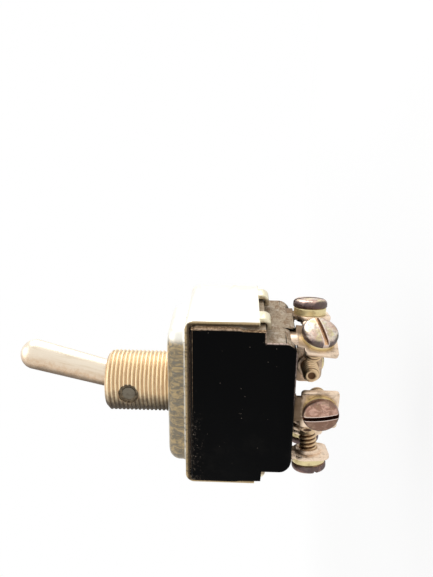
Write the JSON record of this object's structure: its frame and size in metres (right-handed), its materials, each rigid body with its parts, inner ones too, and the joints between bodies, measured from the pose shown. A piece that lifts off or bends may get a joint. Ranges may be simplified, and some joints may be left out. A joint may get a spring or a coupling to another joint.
{
  "type": "panel toggle switch",
  "caption": "Heavy duty toggle switch for a panel hole: threaded bushing, bat lever, plated steel cover and black moulded body with screw terminals.",
  "frame": {"origin": "centre of the bushing on the cover's face that rests behind the panel", "axes": "+Z out of the panel along the bushing, +X along the throw towards the end the lever leans to at rest, +Y across the two poles"},
  "size_m": [0.0344, 0.023, 0.0617],
  "materials": {
    "phenolic": "worn black moulding with a dull sheen",
    "plated_steel": "dull plating, yellowed and scuffed",
    "fibre": "dark fibre sheet",
    "plated_brass": "worn plating over brass",
    "lever_plate": "worn plating, warm and softly bright",
    "steel": "dark steel",
    "spring_steel": "bright drawn wire",
    "moulded_yoke": "brown moulding",
    "terminal_brass": "dulled brass strip",
    "rocker_copper": "copper strip",
    "silver": "silver contact",
    "screw_steel": "tarnished plating",
    "washer_brass": "yellow brass sheet"
  },
  "bodies": {
    "housing": {"body": "phenolic", "cover": "plated_steel", "gasket": "fibre", "bushing": "plated_brass", "pivot_pin": "steel", "fixed_contact_front_right": "silver", "fixed_contact_front_left": "silver", "fixed_contact_back_right": "silver", "fixed_contact_back_left": "silver", "terminal_front_right": "terminal_brass", "terminal_front_middle": "terminal_brass", "terminal_front_left": "terminal_brass", "terminal_back_right": "terminal_brass", "terminal_back_middle": "terminal_brass", "terminal_back_left": "terminal_brass", "screw_front_right": "screw_steel", "screw_front_middle": "screw_steel", "screw_front_left": "screw_steel", "screw_back_right": "screw_steel", "screw_back_middle": "screw_steel", "screw_back_left": "screw_steel", "washer_front_right": "washer_brass", "washer_front_middle": "washer_brass", "washer_front_left": "washer_brass", "washer_back_right": "washer_brass", "washer_back_middle": "washer_brass", "washer_back_left": "washer_brass"},
    "lever": {"lever": "lever_plate", "yoke": "moulded_yoke", "spring_front": "spring_steel", "spring_back": "spring_steel"},
    "plunger_front": {"plunger_front": "moulded_yoke"},
    "plunger_back": {"plunger_back": "moulded_yoke"},
    "rocker_front": {"rocker_front": "rocker_copper", "moving_contact_front_right": "silver", "moving_contact_front_left": "silver"},
    "rocker_back": {"rocker_back": "rocker_copper", "moving_contact_back_right": "silver", "moving_contact_back_left": "silver"}
  },
  "joints": [
    {"name": "lever_throw", "type": "hinge", "parent": "housing", "child": "lever", "pos_m": [0, 0, 0.0077], "axis": [0, 1, 0], "range_deg": [-29.8, 0]},
    {"name": "rocker_front_tilt", "type": "hinge", "parent": "housing", "child": "rocker_front", "pos_m": [0, -0.005, -0.01305], "axis": [0, 1, 0], "range_deg": [0, 16.01]},
    {"name": "rocker_back_tilt", "type": "hinge", "parent": "housing", "child": "rocker_back", "pos_m": [0, 0.005, -0.01305], "axis": [0, 1, 0], "range_deg": [0, 16.01]},
    {"name": "plunger_front_travel", "type": "slide", "parent": "lever", "child": "plunger_front", "axis": [0.2571, 0, 0.9664], "range_m": [0, 0.0006], "stiffness_N_per_m": 200, "springref_m": -0.004, "deforming": ["spring_front"]},
    {"name": "plunger_back_travel", "type": "slide", "parent": "lever", "child": "plunger_back", "axis": [0.2571, 0, 0.9664], "range_m": [0, 0.0006], "stiffness_N_per_m": 200, "springref_m": -0.004, "deforming": ["spring_back"]}
  ],
  "couplings": [
    {"joint": "rocker_front_tilt", "follows": "lever_throw", "ratio": -0.53691},
    {"joint": "rocker_back_tilt", "follows": "lever_throw", "ratio": -0.53691}
  ]
}
